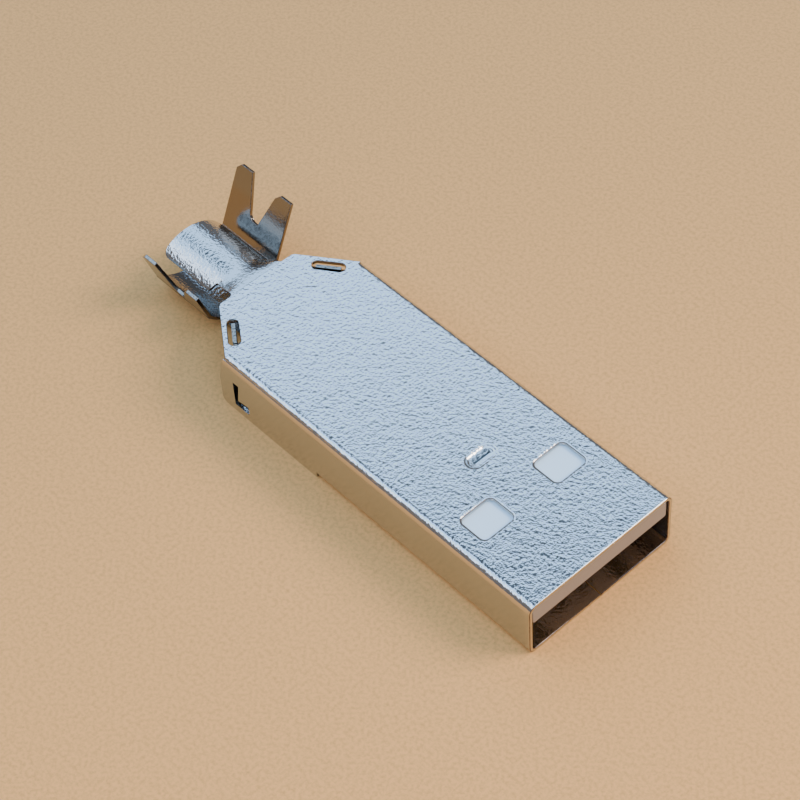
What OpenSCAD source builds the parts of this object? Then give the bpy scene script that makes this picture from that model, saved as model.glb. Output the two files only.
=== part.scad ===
// Bare plug for a cable: a folded upper shell with a crimp tongue, a snap-on lower cover with
// crimp ears, a moulded insulator and four contacts. Millimetres, +Z up, the mouth faces +X.

/* [Overall] */
// Length over everything, from the mouth to the end of the crimp
overall_length = 38.6; // [38.3:0.1:39.2]
// Width over the shell
plug_width = 12; // [11.9:0.05:12.1]
// Height over the shell
plug_height = 4.5; // [4.45:0.05:4.6]
// Thickness of the sheet metal
sheet = 0.25; // [0.23:0.01:0.27]
// Radius on the inside of each bend
bend_radius = 0.33; // [0.3:0.01:0.36]

/* [Upper shell] */
// Length of the closed tube behind the mouth
tube_length = 19; // [18.6:0.1:19.4]
// Width of the seam along the underside of the tube
seam_gap = 0.1; // [0.08:0.02:0.16]
// Distance from the mouth to the start of the shoulders
shoulder_start = 27.3; // [27.1:0.1:27.5]
// Distance from the mouth to the rear edge of the shoulders
shoulder_rear = 31.2; // [31:0.1:31.4]
// Half width where the two shoulder edges would meet
shoulder_half = 3.155; // [3.1:0.05:3.3]
// Radius of the corner between the shoulder edges
shoulder_round = 0.5; // [0.4:0.05:0.6]
// Distance from the mouth to the rear of the side walls at the top
wall_top_end = 27.55; // [27.5:0.05:27.65]
// Distance from the mouth to the rear of the side walls lower down
wall_end = 28.1; // [28:0.05:28.2]
// Height where the rear edge of the side walls starts to lean forward
wall_slant = 2.4; // [2.2:0.1:2.6]
// Radius of the lower rear corner of the side walls
wall_corner = 0.5; // [0.4:0.1:0.6]

/* [Latch windows] */
// Distance from the mouth to the middle of the windows
window_from_mouth = 6.5; // [6.2:0.1:6.8]
// Size of a window along the plug
window_length = 2.2; // [2:0.1:2.4]
// Size of a window across the plug
window_width = 2.6; // [2.4:0.1:2.8]
// Distance from the middle of the plug to the inner edge of a window
window_inner_edge = 1.75; // [1.65:0.05:1.9]
// Corner radius of the windows
window_corner = 0.4; // [0.3:0.05:0.5]

/* [Retention dimple] */
// Distance from the mouth to the dimple
dimple_from_mouth = 10.2; // [10:0.1:10.6]
// Length of the dimple across the plug
dimple_length = 2.1; // [1.9:0.1:2.3]
// Width of the dimple along the plug
dimple_width = 1.05; // [0.95:0.05:1.15]
// Depth of the dimple
dimple_depth = 0.2; // [0.16:0.02:0.24]
// Length of the slit in the dimple
slit_length = 1.3; // [1.1:0.1:1.5]
// Width of the slit in the dimple
slit_width = 0.14; // [0.1:0.02:0.18]

/* [Shoulder slots] */
// Distance from the shoulder edge to the middle of a slot
slot_inset = 0.75; // [0.7:0.05:0.8]
// Distance from the mouth to the middle of a slot
slot_from_mouth = 28.69; // [28.5:0.05:28.8]
// Length of a slot
slot_length = 2.3; // [2.2:0.05:2.4]
// Width of a slot
slot_width = 0.8; // [0.7:0.05:0.85]
// Clearance between a slot and the tab in it, at each end
tab_clearance = 0.3; // [0.25:0.05:0.4]
// Depth of a tab below the top of the plate
tab_depth = 0.08; // [0.04:0.02:0.12]

/* [Side latches] */
// Distance from the mouth to the front of a latch cut
latch_front = 25.45; // [25.3:0.05:25.6]
// Length of a latch cut along the plug
latch_length = 1.35; // [1.3:0.05:1.45]
// Height of the bottom of a latch cut
latch_bottom = 0.65; // [0.6:0.05:0.75]
// Height of a latch cut
latch_height = 2.1; // [1.95:0.05:2.2]
// Width of the cut behind the latch tab at its top
latch_gap = 0.56; // [0.5:0.02:0.6]
// Width of the cut at the corner of the latch tab
latch_waist = 0.32; // [0.28:0.02:0.36]
// Height of the cut below the latch tab at the front
latch_lift = 0.7; // [0.6:0.05:0.75]
// Depth of the bump behind the latch tab
latch_bump = 0.25; // [0.2:0.01:0.27]

/* [Crimp tongue] */
// Half width of the neck at the shoulders
neck_root_half = 2.03; // [1.95:0.05:2.1]
// Half width of the neck at the tongue
neck_waist_half = 1.6; // [1.5:0.05:1.7]
// Radius of the inner corner between neck and shoulder
neck_fillet = 0.25; // [0.2:0.05:0.3]
// Distance from the mouth to the front of the tongue
tongue_start = 33.4; // [33.2:0.1:33.6]
// Length of the tongue
tongue_length = 5; // [4.8:0.05:5]
// Half width of the tongue
tongue_half = 2.2; // [2.1:0.05:2.25]
// Outer radius of the arch of the tongue
arch_radius = 3.25; // [3.1:0.05:3.4]
// Height of the crown of the tongue
arch_crown = 4.07; // [4:0.01:4.12]
// Corner radius at the rear of the tongue
tongue_corner = 0.45; // [0.35:0.05:0.55]
// Corner radius at the front of the tongue
tongue_front_corner = 0.3; // [0.2:0.05:0.4]

/* [Lower cover] */
// Clearance between the cover and the shell round it
cover_clearance = 0.05; // [0.03:0.01:0.06]
// Clearance between the cover and the rear of the tube
cover_end_gap = 0.1; // [0.06:0.02:0.2]
// Height of the side walls of the cover
cover_wall_height = 3.2; // [3:0.1:3.4]
// Distance from the mouth to the rear of the side walls of the cover
cover_wall_end = 27.1; // [27:0.05:27.2]
// Half width of the neck of the cover
cover_neck_half = 2; // [1.9:0.05:2.05]

/* [Crimp] */
// Inner radius of the crimp trough
trough_radius = 3.4; // [3.3:0.05:3.5]
// Rise of the trough above the underside of the cover
trough_lift = 0.02; // [0.01:0.01:0.04]
// Length of the crimp trough
trough_length = 5.45; // [5.3:0.05:5.5]
// Angle of the trough wall on the far side
far_wrap = 62; // [60:1:64]
// Angle of the trough wall on the near side
near_wrap = 50; // [48:1:52]
// Outward lean of the far ear
far_lean = 24; // [22:1:26]
// Outward lean of the near ear
near_lean = 18.5; // [17:0.5:21]
// How far the bead along the bend of an ear stands out of the sheet
bend_bead = 0.02; // [0.01:0.01:0.04]
// Height of the far ear from its bend
far_ear = 4.95; // [4.8:0.05:5.05]
// Height of the near ear from its bend
near_ear = 3.05; // [2.95:0.05:3.2]
// Drop of the front prong of the far ear
far_step = 0.2; // [0.1:0.05:0.3]
// Drop of the front prong of the near ear
near_step = 0.6; // [0.4:0.1:0.7]
// Width of the rear prong at its tip
rear_prong = 1.5; // [1.4:0.05:1.6]
// Width of the front prong at its tip
front_prong = 1.1; // [1:0.05:1.2]
// Width of the rear prong at the foot of the notch
rear_prong_foot = 2.15; // [2.05:0.05:2.25]
// Height of the foot of the notch in the far ear
far_notch_foot = 1.7; // [1.6:0.05:1.8]
// Height of the foot of the notch in the near ear
near_notch_foot = 0.3; // [0.2:0.05:0.4]
// Radius of the foot of the notch
notch_radius = 0.65; // [0.55:0.05:0.75]
// Width of the level part of the foot of the notch
notch_flat = 0.25; // [0.15:0.05:0.35]
// Width of the cut corners of the prong tips
tip_cut = 0.4; // [0.3:0.05:0.5]

/* [Insulator] */
// Clearance between the insulator and the shell, top and bottom
insulator_clearance = 0.04; // [0.03:0.01:0.06]
// Gap between the tongue of the insulator and each side wall
side_gap = 0.12; // [0.1:0.01:0.15]
// Recess of the insulator behind the mouth
insulator_recess = 0.1; // [0.05:0.05:0.25]
// Thickness of the tongue of the insulator
blade_thickness = 1.5; // [1.45:0.01:1.55]
// Size of the cut lower corners of the tongue
blade_chamfer = 0.1; // [0.05:0.05:0.2]
// Size of the step along the upper corners of the tongue
blade_rebate = 0.2; // [0.15:0.05:0.25]
// Distance from the mouth to the front of the block
block_front = 12; // [11.5:0.1:12.5]
// Distance from the mouth to the rear of the block
block_rear = 18.8; // [18.5:0.1:18.9]
// Length of the solder ledge behind the block
ledge_length = 4; // [3.6:0.1:4.4]
// Clearance between the solder ledge and the side walls of the cover
ledge_clearance = 0.4; // [0.3:0.05:0.6]
// Height of the underside of the solder ledge
ledge_bottom = 0.9; // [0.8:0.05:1.1]
// Clearance round the bulge of the dimple
dimple_clearance = 0.1; // [0.06:0.02:0.14]

/* [Contacts] */
// Distance from the middle to the outer contacts
outer_pitch = 3.5; // [3.4:0.05:3.6]
// Distance from the middle to the inner contacts
inner_pitch = 1; // [0.95:0.05:1.1]
// Width of a contact
contact_width = 1; // [0.9:0.05:1.1]
// Thickness of a contact
contact_thickness = 0.25; // [0.2:0.01:0.28]
// Stand of a contact below the tongue
contact_stand = 0.05; // [0.03:0.01:0.08]
// Distance from the mouth to the front of the outer contacts
outer_start = 1.2; // [1.1:0.1:1.6]
// Distance from the mouth to the front of the inner contacts
inner_start = 2.2; // [2.1:0.1:2.6]
// Length of the solder tails behind the block
tail_length = 3.4; // [3:0.1:3.5]
// Clearance between a contact and the plastic round it
contact_clearance = 0.03; // [0.02:0.01:0.04]

/* [Hidden] */
sliver = 0.02;
overlap = 0.05;
half_width = plug_width / 2;
outer_bend = bend_radius + sheet;
inner_half = half_width - sheet;
ceiling_z = plug_height - sheet;
shoulder_angle = atan2(half_width - shoulder_half, shoulder_rear - shoulder_start);
round_y = shoulder_half - shoulder_round * (1 - sin(shoulder_angle)) / cos(shoulder_angle);
round_x = shoulder_rear - shoulder_round;
plate_front = wall_top_end - overlap;
plate_corner_y = half_width - (plate_front - shoulder_start) * tan(shoulder_angle) - sliver;
slot_y = half_width - (slot_from_mouth - shoulder_start) * tan(shoulder_angle)
    - slot_inset / cos(shoulder_angle);
tab_length = slot_length - 2 * tab_clearance;
cover_half = inner_half - cover_clearance;
cover_inset = slot_inset - sheet / 2;
cover_corner_x = shoulder_start + (half_width - cover_half) / tan(shoulder_angle)
    - cover_inset / sin(shoulder_angle);
cover_rear = shoulder_rear - sheet;
cover_rear_half = half_width - (cover_rear - shoulder_start) * tan(shoulder_angle)
    - cover_inset / cos(shoulder_angle);
tongue_end = tongue_start + tongue_length;
arch_z = arch_crown - arch_radius;
trough_z = trough_radius + sheet + trough_lift;
trough_start = overall_length - trough_length;
trough_middle = trough_radius + sheet / 2;
cover_front = tube_length + cover_end_gap;
ledge_half = cover_half - sheet - ledge_clearance;
blade_top = ceiling_z - insulator_clearance;
blade_bottom = blade_top - blade_thickness;
blade_half = inner_half - side_gap;
contact_bottom = blade_bottom - contact_stand;
contact_top = contact_bottom + contact_thickness;
ledge_top = contact_bottom - contact_clearance;
groove_width = contact_width + 2 * contact_clearance;
dimple_radius = (dimple_width * dimple_width / 4 + dimple_depth * dimple_depth) / (2 * dimple_depth);
dimple_z = plug_height + dimple_radius - dimple_depth;
dimple_run = (dimple_length - dimple_width) / 2;
neck_rows = 16;
neck_columns = 12;
margin = 1;
sector_reach = 2;
$fn = 64;

// Moves a thing measured from the mouth into the part's own frame
module from_mouth() {
    translate([overall_length / 2, 0, 0])
        children();
}

// Runs an outline of (y, z) backwards from start to finish
module run_back(start, finish) {
    translate([-finish, 0, 0])
        rotate([90, 0, 90])
            linear_extrude(finish - start)
                children();
}

// A box from x = -start back to x = -finish, centred across
module slab(start, finish, half, bottom, top) {
    translate([-finish, -half, bottom])
        cube([finish - start, 2 * half, top - bottom]);
}

module rounded_box(half, bottom, top, radius) {
    translate([-half, bottom + radius])
        square([2 * half, top - bottom - 2 * radius]);
    translate([-half + radius, bottom])
        square([2 * (half - radius), top - bottom]);
    for (side = [-1, 1]) {
        translate([side * (half - radius), top - radius])
            circle(radius);
        translate([side * (half - radius), bottom + radius])
            circle(radius);
    }
}

// The closed section of the tube, drawn across and up
module tube_section() {
    difference() {
        rounded_box(half_width, 0, plug_height, outer_bend);
        rounded_box(inner_half, sheet, ceiling_z, bend_radius);
        translate([-seam_gap / 2, -margin])
            square([seam_gap, margin + sheet + overlap]);
    }
}

// The open section behind the tube: top plate and two side walls
module open_section() {
    difference() {
        rounded_box(half_width, -margin, plug_height, outer_bend);
        rounded_box(inner_half, -2 * margin, ceiling_z, bend_radius);
        translate([-half_width - margin, -2 * margin])
            square([plug_width + 2 * margin, 2 * margin]);
    }
}

// Side view of the side walls, with their slanted rear edge and rounded lower corner
module wall_outline() {
    polygon([
        [-tube_length + margin, 0],
        [-wall_end + wall_corner, 0],
        [-wall_end + wall_corner, wall_corner],
        [-wall_end, wall_corner],
        [-wall_end, wall_slant],
        [-wall_top_end, plug_height],
        [-tube_length + margin, plug_height]
    ]);
    translate([-wall_end + wall_corner, wall_corner])
        circle(wall_corner);
}

// Plan of the top plate behind the side walls, both shoulders
module shoulder_outline() {
    polygon([
        [-tube_length, -half_width + outer_bend],
        [-plate_front, -half_width + outer_bend],
        [-plate_front, -plate_corner_y],
        [-round_x - shoulder_round * sin(shoulder_angle), -round_y - shoulder_round * cos(shoulder_angle)],
        [-round_x, -round_y],
        [-shoulder_rear, -round_y],
        [-shoulder_rear, round_y],
        [-round_x, round_y],
        [-round_x - shoulder_round * sin(shoulder_angle), round_y + shoulder_round * cos(shoulder_angle)],
        [-plate_front, plate_corner_y],
        [-plate_front, half_width - outer_bend],
        [-tube_length, half_width - outer_bend]
    ]);
    for (side = [-1, 1])
        translate([-round_x, side * round_y])
            circle(shoulder_round);
}

// What the shoulders leave of the bend between top plate and side wall
module shoulder_cut(side) {
    translate([-shoulder_start, side * half_width, 0])
        rotate([0, 0, side * shoulder_angle])
            translate([-margin, side > 0 ? 0 : -margin, ceiling_z])
                cube([2 * margin, margin, sheet + margin]);
}

module slot_outline(length, width) {
    square([length - width, width], center = true);
    for (end = [-1, 1])
        translate([end * (length - width) / 2, 0])
            circle(width / 2);
}

// Puts a thing on the middle of a shoulder slot, running along it
module at_slot(side) {
    translate([-slot_from_mouth, side * slot_y, 0])
        rotate([0, 0, side * shoulder_angle])
            children();
}

module window_outline() {
    for (x = [-1, 1])
        for (y = [-1, 1])
            translate([x * (window_length / 2 - window_corner), y * (window_width / 2 - window_corner)])
                circle(window_corner);
    square([window_length - 2 * window_corner, window_width], center = true);
    square([window_length, window_width - 2 * window_corner], center = true);
}

module windows() {
    for (side = [-1, 1])
        translate([-window_from_mouth, side * (window_inner_edge + window_width / 2), -margin])
            linear_extrude(plug_height + 2 * margin)
                window_outline();
}

// A trough with round ends, the form of the pressed dimple
module dimple_form(radius) {
    translate([-dimple_from_mouth, dimple_run, dimple_z])
        rotate([90, 0, 0])
            cylinder(h = 2 * dimple_run, r = radius);
    for (side = [-1, 1])
        translate([-dimple_from_mouth, side * dimple_run, dimple_z])
            sphere(radius);
}

module dimple_bulge(radius) {
    intersection() {
        dimple_form(radius);
        slab(dimple_from_mouth - dimple_length, dimple_from_mouth + dimple_length, dimple_length,
            ceiling_z - sheet - dimple_depth, ceiling_z + sheet / 2);
    }
}

// The cut round two sides of a latch tab, drawn backwards and up from its lower front corner
module latch_cut() {
    polygon([
        [0, 0],
        [latch_length, 0],
        [latch_length, latch_height],
        [latch_length - latch_gap, latch_height],
        [latch_length - latch_waist, latch_lift - latch_waist / 2],
        [0, latch_lift]
    ]);
}

module latch_cuts() {
    translate([-latch_front, half_width + margin, latch_bottom])
        rotate([90, 0, 0])
            linear_extrude(plug_width + 2 * margin)
                mirror([1, 0])
                    latch_cut();
}

// The bump on the inside of a latch tab that holds the cover
module latch_bump_on(side) {
    translate([-latch_front - latch_length + latch_gap, side * (inner_half - latch_bump / 2),
        latch_bottom + latch_lift + latch_waist])
        rotate([0, 90, 0])
            cylinder(h = latch_length - latch_gap, r = latch_bump);
}

// How far along the neck a row of its points is, from 0 at the shoulders to 1 at the tongue
function neck_share(row) = min(max((row - 1) / (neck_rows - 2), 0), 1);

function neck_run(row) = row == 0 ? shoulder_rear - overlap
    : row == neck_rows ? tongue_start + overlap
    : shoulder_rear + (tongue_start - shoulder_rear) * neck_share(row);

function neck_half(row) = neck_root_half + (neck_waist_half - neck_root_half) * neck_share(row);

// Eased from 0 to 1, level at both ends
function neck_ease(row) = neck_share(row) * neck_share(row) * (3 - 2 * neck_share(row));

function neck_crown(row) = plug_height + (arch_crown - sliver - plug_height) * neck_ease(row);

// Fall of an arc below its crown, at a distance y from the middle
function arc_fall(curve, y) = curve * y * y / (1 + sqrt(1 - curve * curve * y * y));

function neck_y(row, column) = neck_half(row) * (2 * column / neck_columns - 1);

function neck_point(row, column, drop) = [
    -neck_run(row),
    neck_y(row, column),
    neck_crown(row) - arc_fall(neck_ease(row) / arch_radius, neck_y(row, column)) - drop
];

function neck_index(layer, row, column) = (layer * (neck_rows + 1) + row) * (neck_columns + 1) + column;

// The four corners of one patch as two triangles, one way round or the other
function patch(a, b, c, d, flip) = flip ? [[a, b, c], [a, c, d]] : [[a, c, b], [a, d, c]];

// The neck runs from the flat plate down into the arch of the tongue
module neck() {
    points = [
        for (drop = [0, sheet - 2 * sliver], row = [0 : neck_rows], column = [0 : neck_columns])
            neck_point(row, column, drop)
    ];
    faces = [
        for (layer = [0, 1], row = [0 : neck_rows - 1], column = [0 : neck_columns - 1])
            each patch(neck_index(layer, row, column), neck_index(layer, row, column + 1),
                neck_index(layer, row + 1, column + 1), neck_index(layer, row + 1, column), layer == 1),
        for (row = [0, neck_rows], column = [0 : neck_columns - 1])
            each patch(neck_index(0, row, column), neck_index(0, row, column + 1),
                neck_index(1, row, column + 1), neck_index(1, row, column), row == 0),
        for (column = [0, neck_columns], row = [0 : neck_rows - 1])
            each patch(neck_index(0, row, column), neck_index(0, row + 1, column),
                neck_index(1, row + 1, column), neck_index(1, row, column), column > 0)
    ];
    polyhedron(points, faces);
}

module neck_fillets() {
    for (side = [-1, 1])
        translate([-shoulder_rear - neck_fillet, side * (neck_root_half + neck_fillet), ceiling_z])
            difference() {
                translate([0, side > 0 ? -neck_fillet - sheet : 0, 0])
                    cube([neck_fillet + overlap, neck_fillet + sheet, sheet]);
                translate([0, 0, -margin])
                    cylinder(h = sheet + 2 * margin, r = neck_fillet);
            }
}

module tongue_outline() {
    translate([-tongue_end + tongue_corner, -tongue_half])
        square([tongue_length - tongue_corner - tongue_front_corner, 2 * tongue_half]);
    translate([-tongue_end, -tongue_half + tongue_corner])
        square([tongue_length, 2 * (tongue_half - tongue_corner)]);
    translate([-tongue_start - margin, -tongue_half + tongue_front_corner])
        square([margin, 2 * (tongue_half - tongue_front_corner)]);
    for (side = [-1, 1]) {
        translate([-tongue_end + tongue_corner, side * (tongue_half - tongue_corner)])
            circle(tongue_corner);
        translate([-tongue_start - tongue_front_corner, side * (tongue_half - tongue_front_corner)])
            circle(tongue_front_corner);
    }
}

module tongue() {
    intersection() {
        difference() {
            run_back(tongue_start, tongue_end)
                translate([0, arch_z])
                    circle(arch_radius);
            run_back(tongue_start - margin, tongue_end + margin)
                translate([0, arch_z])
                    circle(arch_radius - sheet);
        }
        translate([0, 0, arch_z])
            linear_extrude(2 * arch_radius)
                tongue_outline();
    }
}

module upper_shell() {
    color("silver")
        from_mouth() {
            difference() {
                union() {
                    run_back(0, tube_length)
                        tube_section();
                    intersection() {
                        run_back(tube_length, wall_end + margin)
                            open_section();
                        translate([0, half_width + margin, 0])
                            rotate([90, 0, 0])
                                linear_extrude(plug_width + 2 * margin)
                                    wall_outline();
                    }
                    translate([0, 0, ceiling_z])
                        linear_extrude(sheet)
                            shoulder_outline();
                    dimple_bulge(dimple_radius + sheet);
                }
                for (side = [-1, 1]) {
                    shoulder_cut(side);
                    at_slot(side)
                        translate([0, 0, ceiling_z - margin])
                            linear_extrude(sheet + 2 * margin)
                                slot_outline(slot_length, slot_width);
                }
                windows();
                dimple_form(dimple_radius);
                translate([-dimple_from_mouth, 0, plug_height])
                    cube([slit_width, slit_length, 2 * margin], center = true);
                latch_cuts();
            }
            for (side = [-1, 1])
                latch_bump_on(side);
            neck();
            neck_fillets();
            tongue();
        }
}

// Plan of the floor of the cover, up to its neck
module floor_outline() {
    polygon([
        [-cover_front, -cover_half],
        [-cover_corner_x, -cover_half],
        [-cover_rear, -cover_rear_half],
        [-cover_rear, cover_rear_half],
        [-cover_corner_x, cover_half],
        [-cover_front, cover_half]
    ]);
}

module shoulder_wall(side) {
    at_slot(side) {
        translate([-slot_length / 2 - overlap, -sheet / 2, 0])
            cube([slot_length + 2 * overlap, sheet, ceiling_z - cover_clearance]);
        translate([-tab_length / 2, -sheet / 2, 0])
            cube([tab_length, sheet, plug_height - tab_depth]);
    }
}

module cover_wall(side) {
    difference() {
        translate([-cover_wall_end, side > 0 ? cover_half - sheet : -cover_half, 0])
            cube([cover_wall_end - cover_front, sheet, cover_wall_height]);
        translate([-latch_front - latch_length, side * cover_half, latch_bottom])
            translate([-overlap, -margin / 2, 0])
                cube([latch_length + 2 * overlap, margin, latch_height]);
    }
}

// Sheet bent to a radius at its middle, between two angles counted from straight down
module bent_sheet(middle, first, last) {
    reach = sector_reach * middle;
    halfway = (first + last) / 2;
    intersection() {
        difference() {
            circle(middle + sheet / 2);
            circle(middle - sheet / 2);
        }
        polygon([
            [0, 0],
            [reach * sin(first), -reach * cos(first)],
            [reach * sin(halfway), -reach * cos(halfway)],
            [reach * sin(last), -reach * cos(last)]
        ]);
    }
}

// Section of a flat ear standing on the end of the trough wall, with the bead along its bend
module ear_section(wrap, lean, height) {
    translate([trough_middle * sin(wrap), trough_z - trough_middle * cos(wrap)]) {
        circle(sheet / 2 + bend_bead);
        rotate(-lean)
            translate([-sheet / 2, 0])
                square([sheet, height + overlap]);
    }
}

module trough_section() {
    translate([0, trough_z])
        bent_sheet(trough_middle, -near_wrap, far_wrap);
    ear_section(far_wrap, far_lean, far_ear);
    mirror([1, 0])
        ear_section(near_wrap, near_lean, near_ear);
}

// What is cut from the top of an ear to leave two prongs: along from the rear, up from the bend
module ear_cut_outline(height, step, foot) {
    front_tip = trough_length - front_prong;
    notch_x = rear_prong_foot + notch_radius;
    polygon([
        [-margin, height + margin],
        [-margin, height - tip_cut - margin],
        [tip_cut, height],
        [rear_prong, height],
        [rear_prong_foot, foot + notch_radius],
        [notch_x, foot],
        [notch_x + notch_flat, foot],
        [front_tip - tip_cut, height - step - tip_cut],
        [front_tip, height - step],
        [trough_length + margin, height - step],
        [trough_length + margin, height + margin]
    ]);
    translate([notch_x, foot + notch_radius])
        intersection() {
            circle(notch_radius);
            translate([-notch_radius, -notch_radius])
                square(notch_radius);
        }
}

module ear_cut(wrap, lean, height, step, foot) {
    translate([-overall_length, trough_middle * sin(wrap), trough_z - trough_middle * cos(wrap)])
        rotate([-lean, 0, 0])
            translate([0, margin, 0])
                rotate([90, 0, 0])
                    linear_extrude(2 * margin)
                        ear_cut_outline(height, step, foot);
}

// The crimp trough with its two ears and the narrower neck that runs forward to the floor
module trough() {
    difference() {
        run_back(cover_rear - sheet, overall_length)
            trough_section();
        for (side = [-1, 1])
            translate([-trough_start, side > 0 ? cover_neck_half : -cover_neck_half - plug_width, -margin])
                cube([plug_width, plug_width, plug_width]);
        ear_cut(far_wrap, far_lean, far_ear, far_step, far_notch_foot);
        mirror([0, 1, 0])
            ear_cut(near_wrap, near_lean, near_ear, near_step, near_notch_foot);
    }
}

module lower_cover() {
    color("gainsboro")
        from_mouth() {
            linear_extrude(sheet)
                floor_outline();
            for (side = [-1, 1]) {
                shoulder_wall(side);
                cover_wall(side);
            }
            trough();
        }
}

// Section of the tongue of the insulator
module blade_section() {
    polygon([
        [-blade_half + blade_chamfer, blade_bottom],
        [blade_half - blade_chamfer, blade_bottom],
        [blade_half, blade_bottom + blade_chamfer],
        [blade_half, blade_top - blade_rebate],
        [blade_half - blade_rebate, blade_top - blade_rebate],
        [blade_half - blade_rebate, blade_top],
        [-blade_half + blade_rebate, blade_top],
        [-blade_half + blade_rebate, blade_top - blade_rebate],
        [-blade_half, blade_top - blade_rebate],
        [-blade_half, blade_bottom + blade_chamfer]
    ]);
}

// Room for one contact: open below the tongue, closed through the block
module contact_slot(y, start) {
    translate([-block_front, y - groove_width / 2, contact_bottom - margin])
        cube([block_front - start + contact_clearance, groove_width,
            margin + contact_thickness + contact_clearance]);
    translate([-block_rear - margin, y - groove_width / 2, contact_bottom - contact_clearance])
        cube([block_rear - block_front + 2 * margin, groove_width, contact_thickness + 2 * contact_clearance]);
}

module insulator() {
    color("white")
        from_mouth()
            difference() {
                union() {
                    run_back(insulator_recess, block_front + overlap)
                        blade_section();
                    slab(block_front, block_rear, inner_half - cover_clearance - bend_radius,
                        sheet + insulator_clearance, blade_top);
                    slab(block_rear - overlap, block_rear + ledge_length, ledge_half, ledge_bottom, ledge_top);
                }
                for (side = [-1, 1]) {
                    contact_slot(side * outer_pitch, outer_start);
                    contact_slot(side * inner_pitch, inner_start);
                }
                dimple_bulge(dimple_radius + sheet + dimple_clearance);
            }
}

module contact(y, start) {
    color("gold")
        from_mouth()
            translate([-block_rear - tail_length, y - contact_width / 2, contact_bottom])
                cube([block_rear + tail_length - start, contact_width, contact_thickness]);
}

module contact_power() {
    contact(-outer_pitch, outer_start);
}

module contact_ground() {
    contact(outer_pitch, outer_start);
}

module contact_data_a() {
    contact(-inner_pitch, inner_start);
}

module contact_data_b() {
    contact(inner_pitch, inner_start);
}

upper_shell();
lower_cover();
insulator();
contact_power();
contact_ground();
contact_data_a();
contact_data_b();
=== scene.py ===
import math

import bmesh
import bpy
import numpy as np
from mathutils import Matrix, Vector


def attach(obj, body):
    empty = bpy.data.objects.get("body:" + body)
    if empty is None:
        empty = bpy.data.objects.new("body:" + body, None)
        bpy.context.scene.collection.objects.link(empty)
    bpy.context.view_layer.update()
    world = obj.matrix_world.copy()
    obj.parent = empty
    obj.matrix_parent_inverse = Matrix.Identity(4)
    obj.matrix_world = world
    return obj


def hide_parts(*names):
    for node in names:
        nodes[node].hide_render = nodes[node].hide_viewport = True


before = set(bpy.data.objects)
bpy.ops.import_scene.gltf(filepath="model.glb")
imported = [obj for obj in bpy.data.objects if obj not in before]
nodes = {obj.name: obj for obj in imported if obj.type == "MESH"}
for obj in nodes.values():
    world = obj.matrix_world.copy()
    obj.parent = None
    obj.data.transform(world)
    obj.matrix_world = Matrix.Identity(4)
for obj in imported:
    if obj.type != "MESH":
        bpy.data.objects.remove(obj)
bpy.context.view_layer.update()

mm = 0.001
print("frame:", len(nodes), "nodes")


# One socket of a node tree, so that shader maths reads as Python
class Wire:
    def __init__(self, tree, socket):
        self.tree = tree
        self.socket = socket

    def maths(self, operation, *others, swap=False):
        step = self.tree.nodes.new("ShaderNodeMath")
        step.operation = operation
        values = [*others, self] if swap else [self, *others]
        for place, value in enumerate(values):
            plug(self.tree, step.inputs[place], value)
        return Wire(self.tree, step.outputs[0])

    def __add__(self, other): return self.maths("ADD", other)
    def __radd__(self, other): return self.maths("ADD", other)
    def __sub__(self, other): return self.maths("SUBTRACT", other)
    def __rsub__(self, other): return self.maths("SUBTRACT", other, swap=True)
    def __mul__(self, other): return self.maths("MULTIPLY", other)
    def __rmul__(self, other): return self.maths("MULTIPLY", other)
    def __pow__(self, other): return self.maths("POWER", other)
    def __abs__(self): return self.maths("ABSOLUTE")
    def atLeast(self, floor): return self.maths("MAXIMUM", floor)

    def above(self, start, end):  # 0 below start, 1 past end, eased between
        return node(self.tree, "MapRange", {"interpolation_type": "SMOOTHSTEP"},
                    {"Value": self, "From Min": start, "From Max": end})["Result"]

    def aboveMm(self, band):  # the same for a start and end in millimetres
        return self.above(band[0] * mm, band[1] * mm)


def plug(tree, socket, value):
    if isinstance(value, Wire):
        tree.links.new(value.socket, socket)
    elif isinstance(value, tuple) and len(value) == 3 and socket.type == "RGBA":
        socket.default_value = value + (1.0,)
    else:
        socket.default_value = value


# Any other node: its type, the settings that come first, and its sockets by name
def node(tree, kind, settings=None, sockets=None):
    made = tree.nodes.new("ShaderNode" + kind)
    for name, value in (settings or {}).items():
        setattr(made, name, value)
    for name, value in (sockets or {}).items():
        live = [s for s in made.inputs if s.name == name and s.enabled]
        plug(tree, live[0], value)
    return {s.name: Wire(tree, s) for s in made.outputs if s.enabled}


def startMaterial(name, metallic=0.0):
    material = bpy.data.materials.new(name)
    material.use_nodes = True
    tree = material.node_tree
    shader = tree.nodes["Principled BSDF"]
    shader.inputs["Metallic"].default_value = metallic
    return material, tree, shader


def objectPlace(tree):
    return node(tree, "TexCoord")["Object"]


def axes(tree, vector):
    split = node(tree, "SeparateXYZ", sockets={"Vector": vector})
    return split["X"], split["Y"], split["Z"]


def facingUp(tree):
    return axes(tree, node(tree, "TexCoord")["Normal"])[2]


def noise(tree, place, size, detail=2.0, roughness=0.5, lean=None):
    if lean is not None:
        place = node(tree, "Mapping", sockets={"Vector": place, "Scale": lean})["Vector"]
    return node(tree, "TexNoise", sockets={"Vector": place, "Scale": 1 / size, "Detail": detail,
                                           "Roughness": roughness})["Fac"]


def mixColour(tree, mask, first, second):
    return node(tree, "Mix", {"data_type": "RGBA"}, {"Factor": mask, "A": first, "B": second})["Result"]


def dimmed(tree, share, colour):
    return mixColour(tree, share, (0, 0, 0), colour)


def raiseSurface(tree, shader, height, depth):
    bump = node(tree, "Bump", sockets={"Height": height, "Strength": 1.0, "Distance": depth})
    plug(tree, shader.inputs["Normal"], bump["Normal"])


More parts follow.
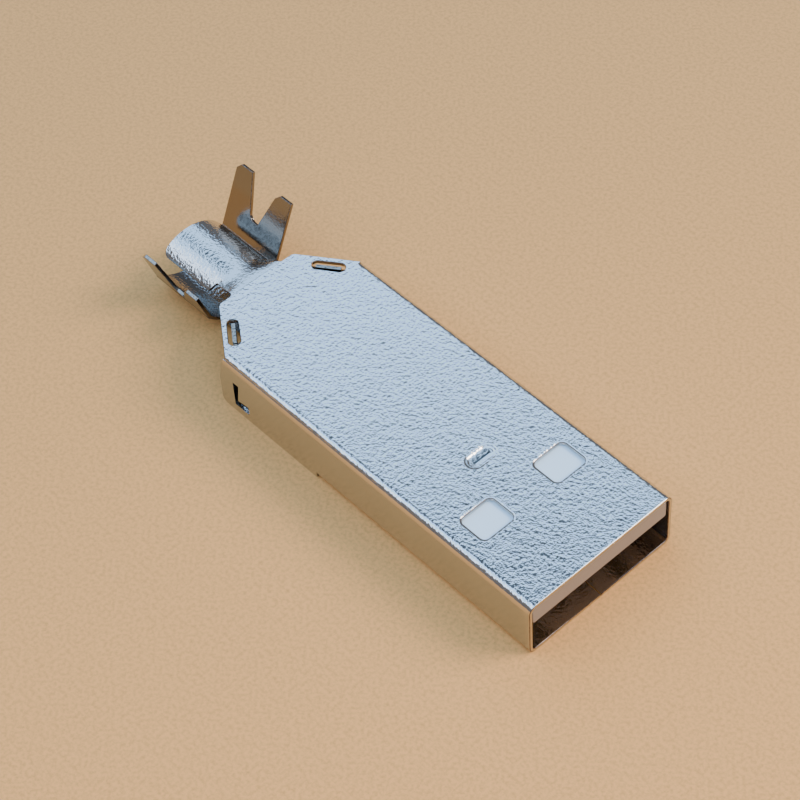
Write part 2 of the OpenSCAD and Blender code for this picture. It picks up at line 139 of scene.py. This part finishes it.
nickel = {  # colours, shares of brightness that paint shade, then lengths; bands are the start and end of an eased step
    "bright": (0.78, 0.76, 0.735),
    "dull": (0.70, 0.68, 0.66),
    "paintedBounce": (0.76, 0.67, 0.58),
    "wallShadeShare": 0.8,
    "insideShadeShare": 0.85,
    "farBendShare": 0.3,
    "wallShadeBand": (0.3, 0.85),
    "grainBand": (0.35, 0.9),
    "grain": 0.21 * mm,
    "fineGrain": 0.09 * mm,
    "fineShare": 0.25,
    "cloud": 3.2 * mm,
    "relief": 0.032 * mm,
    "topRoughness": 0.11,
    "wallRoughness": 0.19,
    "cloudRoughness": 0.06,
}
shellBands = {  # millimetres in the part's own frame
    "plate": (4.3, 4.45),
    "insideWall": (5.74, 5.78),
    "insideFloor": (0.2, 0.24),
    "insideRoof": (4.24, 4.27),
    "farBendAcross": (5.80, 5.88),
    "farBendUp": (4.1, 4.2),
    "earAcross": (1.7, 2.4),
    "earUp": (4.6, 5.4),
}
lips = {  # millimetres: middle x, half length, middle |y|, half width, corner radius
    "window": (12.8, 1.1, 3.05, 1.3, 0.4),
    "dimple": (9.1, 0.525, 0.0, 1.05, 0.52),
}
lipDepth = 1.7  # as a share of the relief
lipReach = 0.17 * mm


# How far a point lies outside a rounded rectangle, on either side of the plug
def outside(x, y, lip):
    middleX, halfX, middleY, halfY, corner = (value * mm for value in lip)
    along = (abs(x - middleX) - (halfX - corner)).atLeast(0.0)
    across = (abs(abs(y) - middleY) - (halfY - corner)).atLeast(0.0)
    return (along * along + across * across) ** 0.5 - corner


# Nickel plate: grained on the faces that look up, smoother on the walls, with painted shade on the walls and
# inside
def shellNickel(name, grainOnWalls, share=1.0, hollow=False, bounceTinted=False):
    material, tree, shader = startMaterial(name, metallic=1.0)
    place = objectPlace(tree)
    x, y, z = axes(tree, place)
    facing = facingUp(tree)
    grained = facing.above(*nickel["grainBand"]) * (1 - grainOnWalls) + grainOnWalls
    cells = noise(tree, place, nickel["grain"], 1.0, 0.45)
    fine = noise(tree, place, nickel["fineGrain"], 0.5)
    cloud = noise(tree, place, nickel["cloud"], 3.0)
    height = (cells + nickel["fineShare"] * fine) * grained
    # Painted shade: faces that do not look up get a darker colour
    paintedShade = nickel["wallShadeShare"] + (1 - nickel["wallShadeShare"]) * facing.above(*nickel["wallShadeBand"])
    if hollow:  # a dip round each window and the dimple, and painted shade inside and on the far bend
        onPlate = z.aboveMm(shellBands["plate"])
        for lip in lips.values():
            height = height - lipDepth * onPlate * (1 - outside(x, y, lip).above(0.0, lipReach))
        # Painted shade inside the shell
        insideShade = (1 - abs(y).aboveMm(shellBands["insideWall"])) * z.aboveMm(shellBands["insideFloor"])
        insideShade = insideShade * (1 - z.aboveMm(shellBands["insideRoof"]))
        paintedShade = paintedShade * (1 - (1 - nickel["insideShadeShare"]) * insideShade)
        # Painted shade darkening the far bend
        farBend = y.aboveMm(shellBands["farBendAcross"]) * z.aboveMm(shellBands["farBendUp"])
        paintedShade = paintedShade * (1 - (1 - nickel["farBendShare"]) * farBend)
    metal = mixColour(tree, cloud, nickel["dull"], nickel["bright"])
    if bounceTinted:  # painted warm bounce light from the paper, low on the crimp ears
        bounceZone = abs(y).aboveMm(shellBands["earAcross"]) * (1 - z.aboveMm(shellBands["earUp"]))
        metal = mixColour(tree, bounceZone, metal, nickel["paintedBounce"])
    smoother = grained * (nickel["topRoughness"] - nickel["wallRoughness"])
    rough = nickel["wallRoughness"] + smoother + nickel["cloudRoughness"] * (cloud - 0.5)
    raiseSurface(tree, shader, height, nickel["relief"])
    # The share dims the whole copy as painted shade
    plug(tree, shader.inputs["Base Color"], dimmed(tree, paintedShade * share, metal))
    plug(tree, shader.inputs["Roughness"], rough)
    return material


sheared = {
    "dark": (0.13, 0.10, 0.085),
    "light": (0.30, 0.25, 0.22),
    "grain": 0.12 * mm,
    "relief": 0.006 * mm,
    "rimAlong": (19.2, 19.23),  # millimetres, the polished top rim of the mouth
    "rimUp": (4.42, 4.45),
    "rimPolish": 0.22,
}


# The cut edges of the sheet: dark, torn a little across, with lighter bits; on the eased rims the same dark
# is a painted shade outline
def shearedEdgeAndRimShade():
    material, tree, shader = startMaterial("shearedEdgeAndRimShade", metallic=1.0)
    place = objectPlace(tree)
    x, y, z = axes(tree, place)
    torn = noise(tree, place, sheared["grain"], 2.0, 0.6)
    mouthRim = x.aboveMm(sheared["rimAlong"]) * z.aboveMm(sheared["rimUp"])
    metal = mixColour(tree, torn.above(0.4, 0.7), sheared["dark"], sheared["light"])
    raiseSurface(tree, shader, torn, sheared["relief"])
    plug(tree, shader.inputs["Base Color"], mixColour(tree, mouthRim, metal, nickel["bright"]))
    plug(tree, shader.inputs["Roughness"], 0.3 + 0.2 * torn - sheared["rimPolish"] * mouthRim)
    return material


plastic = {
    # The cool tints are painted sky light on a white moulding; the side colour is painted shade
    "colour": (0.74, 0.88, 0.97),
    "deep": (0.68, 0.83, 0.94),
    "side": (0.33, 0.27, 0.22),
    "cloud": 2.5 * mm,
    "pores": 0.12 * mm,
    "relief": 0.006 * mm,
}


# White moulding with fine pores: the cool top is painted sky light, the dark warm sides painted shade
def insulatorPlastic():
    material, tree, shader = startMaterial("insulatorPlastic")
    place = objectPlace(tree)
    pores = noise(tree, place, plastic["pores"])
    paintedSkyTop = mixColour(tree, noise(tree, place, plastic["cloud"]), plastic["deep"], plastic["colour"])
    raiseSurface(tree, shader, pores, plastic["relief"])
    # Painted light and shade: dark warm sides, cool top
    plug(tree, shader.inputs["Base Color"],
         mixColour(tree, facingUp(tree).above(0.3, 0.8), plastic["side"], paintedSkyTop))
    plug(tree, shader.inputs["Roughness"], 0.42 + 0.12 * pores)
    return material


gold = {
    "colour": (0.92, 0.70, 0.32),
    "worn": (0.80, 0.66, 0.42),
    "grain": 0.06 * mm,
    "lean": (0.05, 1.0, 1.0),
    "relief": 0.002 * mm,
}


# Gold flash, drawn out along the contact
def contactGold():
    material, tree, shader = startMaterial("contactGold", metallic=1.0)
    drawn = noise(tree, objectPlace(tree), gold["grain"], lean=gold["lean"])
    raiseSurface(tree, shader, drawn, gold["relief"])
    plug(tree, shader.inputs["Base Color"], mixColour(tree, drawn, gold["worn"], gold["colour"]))
    plug(tree, shader.inputs["Roughness"], 0.2 + 0.15 * drawn)
    return material


materials = {
    # Shares below one paint shade over a whole copy of the nickel: a little on the tongue, much on the cover
    "shell": shellNickel("shellNickel", 0.12, hollow=True),
    "tongue": shellNickel("tongueNickel", 0.12, share=0.85),
    "cover": shellNickel("coverNickel", 0.2, share=0.42, bounceTinted=True),
    "plastic": insulatorPlastic(),
    "contact": contactGold(),
    "cut": shearedEdgeAndRimShade(),
}
print("materials:", len(materials))


# True where two sharp edges run side by side a sheet's thickness apart
def isCutFace(face, sharpEdges, thickness):
    rims = [edge for edge in face.edges if edge in sharpEdges]
    for place, first in enumerate(rims):
        along = (first.verts[1].co - first.verts[0].co).normalized()
        for second in rims[place + 1:]:
            other = (second.verts[1].co - second.verts[0].co).normalized()
            apart = (second.verts[0].co + second.verts[1].co - first.verts[0].co - first.verts[1].co) / 2
            across = (apart - along * apart.dot(along)).length
            if abs(along.dot(other)) > 0.95 and abs(across - thickness) < 0.25 * thickness:
                return True
    return False


# A merged copy of a solid: its cut edges are eased by a small bevel, wider round the punched holes
def easedCopy(nodeName, pieceName, skins, ease):
    mesh = nodes[nodeName].data.copy()
    work = bmesh.new()
    work.from_mesh(mesh)
    bmesh.ops.remove_doubles(work, verts=work.verts, dist=ease["merge"])
    bmesh.ops.dissolve_limit(work, angle_limit=math.radians(ease["flat"]), verts=work.verts, edges=work.edges)
    if ease["endsAt"] is not None:  # what lies behind is made as a smooth piece of its own
        everything = list(work.verts) + list(work.edges) + list(work.faces)
        sliced = bmesh.ops.bisect_plane(work, geom=everything, dist=ease["merge"], clear_inner=True,
                                        plane_co=(ease["endsAt"], 0, 0), plane_no=(1, 0, 0))
        bmesh.ops.holes_fill(work, edges=[e for e in sliced["geom_cut"] if isinstance(e, bmesh.types.BMEdge)])
    weights = work.edges.layers.float.new("bevel_weight_edge")
    sharp = math.radians(ease["sharp"])
    sharpEdges = {edge for edge in work.edges
                  if len(edge.link_faces) == 2 and edge.calc_face_angle_signed() > sharp}
    for edge in sharpEdges:
        middle = (edge.verts[0].co + edge.verts[1].co) / 2 / mm
        for middleX, reachX, middleY, reachY, bottom, weight in ease["rims"]:
            along = abs(middle.x - middleX) < reachX
            across = abs(abs(middle.y) - middleY) < reachY
            if along and across and middle.z > bottom:
                edge[weights] = weight
    for face in work.faces:
        cut = len(skins) > 1 and isCutFace(face, sharpEdges, ease["thickness"])
        face.material_index = 1 if cut else 0
    work.to_mesh(mesh)
    work.free()
    mesh.materials.clear()
    for skin in skins:
        mesh.materials.append(skin)
    mesh.shade_smooth()
    mesh.set_sharp_from_angle(angle=sharp)
    piece = bpy.data.objects.new(pieceName, mesh)
    bpy.context.scene.collection.objects.link(piece)
    bevel = piece.modifiers.new("easedEdges", "BEVEL")
    bevel.width = ease["width"]
    bevel.segments = ease["segments"]
    bevel.limit_method = "WEIGHT"
    bevel.use_clamp_overlap = False
    # On the sheet pieces the eased rims take the dark cut colour as a painted shade outline
    bevel.material = len(skins) - 1
    even = piece.modifiers.new("flatFaces", "WEIGHTED_NORMAL")
    even.mode = "FACE_AREA"
    even.weight = 50
    even.keep_sharp = True
    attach(piece, "root")
    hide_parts(nodeName)


# Angles in degrees. A rim is a zone of edges to ease, in millimetres: middle and reach along x,
# middle and reach of |y|, the height that it lies above, and its share of the bevel's width
shellEdges = {
    "merge": 0.0005 * mm, "flat": 0.5, "sharp": 28,
    "width": 0.09 * mm, "segments": 3, "thickness": 0.25 * mm,
    "endsAt": -11.9 * mm,
    "rims": [(12.8, 1.2, 3.05, 1.4, 4.4, 0.6),
             (-9.4, 1.3, 4.35, 0.95, 4.45, 0.5),
             (19.3, 0.05, 0.0, 7.0, -1.0, 0.5)],
}
coverEdges = dict(shellEdges, endsAt=None, rims=[(-16.6, 2.9, 0.0, 7.0, 0.3, 0.35)])
plasticEdges = dict(shellEdges, endsAt=None, rims=[(19.2, 0.05, 0.0, 7.0, 0.0, 0.5)])
easedCopy("upper_shell", "upperShellSheet", [materials["shell"], materials["cut"]], shellEdges)
easedCopy("lower_cover", "lowerCoverSheet", [materials["cover"], materials["cut"]], coverEdges)
easedCopy("insulator", "insulatorBlock", [materials["plastic"]], plasticEdges)

tongue = {  # millimetres in the part's own frame; pairs are the near side and the far side
    "front": -11.9, "waist": -14.1, "rear": -19.1,
    "rootHalf": 2.03, "waistHalf": (1.6, 2.6), "half": (2.2, 2.72),
    "plateTop": 4.5, "crown": 4.07, "radius": 3.25, "fillet": 0.25,
    "frontCorner": 0.3, "rearCorner": (0.5, 0.9), "thickness": 0.25,
    "rows": 150, "cornerRows": 9, "rowSpread": 0.12, "columns": 48,
    "easeWidth": 0.04, "easeSegments": 2, "easeAngle": 50,
}


def eased(share):
    share = np.clip(share, 0.0, 1.0)
    return share * share * (3 - 2 * share)


# Half width at each x: a straight line from root to waist, with a round fillet at the plate,
# then an eased step out to the full width, less a quarter circle at the rear corner
def tongueHalf(x, side):
    t = tongue
    fromPlate = t["front"] - x
    neck = t["rootHalf"] + (t["waistHalf"][side] - t["rootHalf"]) * fromPlate / (t["front"] - t["waist"])
    nearPlate = np.clip(t["fillet"] - fromPlate, 0.0, t["fillet"])
    neck = neck + t["fillet"] - np.sqrt(np.maximum(t["fillet"] ** 2 - nearPlate ** 2, 0.0))
    out = eased((t["waist"] - x) / t["frontCorner"])
    corner = t["rearCorner"][side]
    intoCorner = np.clip(t["rear"] + corner - x, 0.0, corner)
    rounded = t["half"][side] - corner + np.sqrt(np.maximum(corner ** 2 - intoCorner ** 2, 0.0))
    return neck * (1 - out) + rounded * out


# Arched sheet on a grid of rows along x and columns across. Each row is a circle's arc: its height
# is the crown's, less k y squared over 1 plus the root of (1 - k squared y squared), where k is one
# over the arc's radius. From the plate to the waist the crown sinks and k grows from 0, both eased
def makeTongue():
    t = tongue
    share = np.linspace(0, 1, t["rows"])
    share = share - t["rowSpread"] * np.sin(2 * np.pi * share) / (2 * np.pi)
    x = t["front"] + (t["rear"] - t["front"]) * share
    corner = t["waist"] - np.linspace(0, t["frontCorner"], t["cornerRows"])
    x = np.unique(np.concatenate([x, corner]))[::-1]
    across = np.linspace(-1, 1, t["columns"] + 1)[None, :]
    half = np.where(across < 0, tongueHalf(x, 0)[:, None], tongueHalf(x, 1)[:, None])
    y = across * half
    sink = eased((t["front"] - x) / (t["front"] - t["waist"]))[:, None]
    k = sink / t["radius"]
    z = t["plateTop"] + (t["crown"] - t["plateTop"]) * sink - k * y * y / (1 + np.sqrt(1 - (k * y) ** 2))
    points = np.stack([np.broadcast_to(x[:, None], y.shape), y, z], axis=-1).reshape(-1, 3) * mm
    count = t["columns"] + 1
    start = (np.arange(len(x) - 1)[:, None] * count + np.arange(t["columns"])[None, :]).ravel()
    faces = np.stack([start, start + 1, start + count + 1, start + count], axis=1)
    mesh = bpy.data.meshes.new("crimpTongue")
    mesh.from_pydata(points.tolist(), [], faces.tolist())
    mesh.materials.append(materials["tongue"])
    mesh.materials.append(materials["cut"])
    mesh.shade_smooth()
    piece = bpy.data.objects.new("crimpTongue", mesh)
    bpy.context.scene.collection.objects.link(piece)
    wall = piece.modifiers.new("sheetWall", "SOLIDIFY")
    wall.thickness = t["thickness"] * mm
    wall.offset = -1
    wall.material_offset_rim = 1
    edges = piece.modifiers.new("easedEdges", "BEVEL")
    edges.width = t["easeWidth"] * mm
    edges.segments = t["easeSegments"]
    edges.limit_method = "ANGLE"
    edges.angle_limit = math.radians(t["easeAngle"])
    # The eased edges take the dark cut colour as a painted shade outline
    edges.material = 1
    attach(piece, "root")


makeTongue()
for name in ("contact_power", "contact_ground", "contact_data_a", "contact_data_b"):
    nodes[name].data.materials.clear()
    nodes[name].data.materials.append(materials["contact"])
print("pieces made")

paper = {
    "size": 3.0,
    "far": (0.72, 0.365, 0.125),
    "near": (0.97, 0.44, 0.13),
    "nearWay": (0.78, -0.63),  # the way in which a painted pool of light makes the paper lighter
    "paintedLightBand": (-0.045, 0.045),
    "fibre": 0.25 * mm,
    "fibreShare": 0.75,
    "base": 0.56,
    "roughness": 0.85,
    "specular": 0.2,
}
sky = {
    "bright": (1.05, 1.70, 2.65),
    "overhead": (0.10, 0.14, 0.20),
    "glow": (2.2, 2.8, 3.7),
    "horizon": (0.17, 0.18, 0.20),
    "haze": (0.20, 0.19, 0.19),
    "lean": 0.45,  # how far the bright band leans to the near side and the cable's end
}
cameraSet = {  # millimetres and degrees
    "place": (78.504, -63.221, 120.535),
    "turn": (40.310, 2.857, 47.144),
    "lens": 110.56,
    "sensor": 36.0,
    "clipStart": 0.01,
}
lamps = {  # direction from the part, distance, width, power, colour
    "sideBox": ((0.50, 0.55, 0.62), 0.6, 0.3, 3.5, (1.0, 0.91, 0.83)),
}


def makeFloor():
    half = paper["size"] / 2
    corners = [(-half, -half, 0), (half, -half, 0), (half, half, 0), (-half, half, 0)]
    mesh = bpy.data.meshes.new("paperFloor")
    mesh.from_pydata(corners, [], [(0, 1, 2, 3)])
    material, tree, shader = startMaterial("paperTan")
    place = objectPlace(tree)
    x, y, z = axes(tree, place)
    fibre = noise(tree, place, paper["fibre"], 3.0, 0.6)
    # Painted light: the paper's tan grows lighter towards the camera
    nearer = (paper["nearWay"][0] * x + paper["nearWay"][1] * y).above(*paper["paintedLightBand"])
    colour = mixColour(tree, nearer, paper["far"], paper["near"])
    plug(tree, shader.inputs["Base Color"], dimmed(tree, paper["base"] + paper["fibreShare"] * fibre, colour))
    shader.inputs["Roughness"].default_value = paper["roughness"]
    shader.inputs["Specular IOR Level"].default_value = paper["specular"]
    mesh.materials.append(material)
    floor = bpy.data.objects.new("paperFloor", mesh)
    bpy.context.scene.collection.objects.link(floor)


def makeLamp(name, direction, distance, width, power, colour):
    data = bpy.data.lights.new(name, "AREA")
    data.shape = "SQUARE"
    data.size = width
    data.energy = power
    data.color = colour
    lamp = bpy.data.objects.new(name, data)
    towards = Vector(direction).normalized()
    lamp.location = towards * distance
    lamp.rotation_euler = towards.to_track_quat("Z", "Y").to_euler()
    bpy.context.scene.collection.objects.link(lamp)


def makeCamera():
    data = bpy.data.cameras.new("camera")
    data.lens = cameraSet["lens"]
    data.sensor_width = cameraSet["sensor"]
    data.clip_start = cameraSet["clipStart"]
    camera = bpy.data.objects.new("camera", data)
    camera.location = Vector(cameraSet["place"]) * mm
    camera.rotation_euler = [math.radians(angle) for angle in cameraSet["turn"]]
    bpy.context.scene.collection.objects.link(camera)
    bpy.context.scene.camera = camera


# The room's light: dim low down, a broad bright band with a glow on the near side, and dark overhead
def makeSky():
    world = bpy.data.worlds.new("studio")
    world.use_nodes = True
    tree = world.node_tree
    x, y, z = axes(tree, node(tree, "TexCoord")["Generated"])
    nearSide = 1 - y.above(-0.25, -0.05)
    lit = (z - sky["lean"] * y - sky["lean"] * x).above(0.40, 0.62)
    lit = lit * (nearSide * z.above(0.58, 0.64) + (1 - nearSide) * z.above(0.08, 0.32))
    hazy = nearSide * z.above(0.15, 0.25) * (1 - z.above(0.50, 0.54))
    glowing = nearSide * z.above(0.60, 0.64) * (1 - z.above(0.74, 0.78))
    shaded = z.above(0.785, 0.81) * y.above(-0.06, 0.02) * (1 - x.above(-0.25, 0.0))
    light = mixColour(tree, hazy, sky["horizon"], sky["haze"])
    light = mixColour(tree, lit, light, sky["bright"])
    light = mixColour(tree, glowing, light, sky["glow"])
    light = mixColour(tree, shaded, light, sky["overhead"])
    plug(tree, tree.nodes["Background"].inputs["Color"], light)
    bpy.context.scene.world = world


makeFloor()
for lampName, settings in lamps.items():
    makeLamp(lampName, *settings)
makeCamera()
makeSky()
print("studio made")
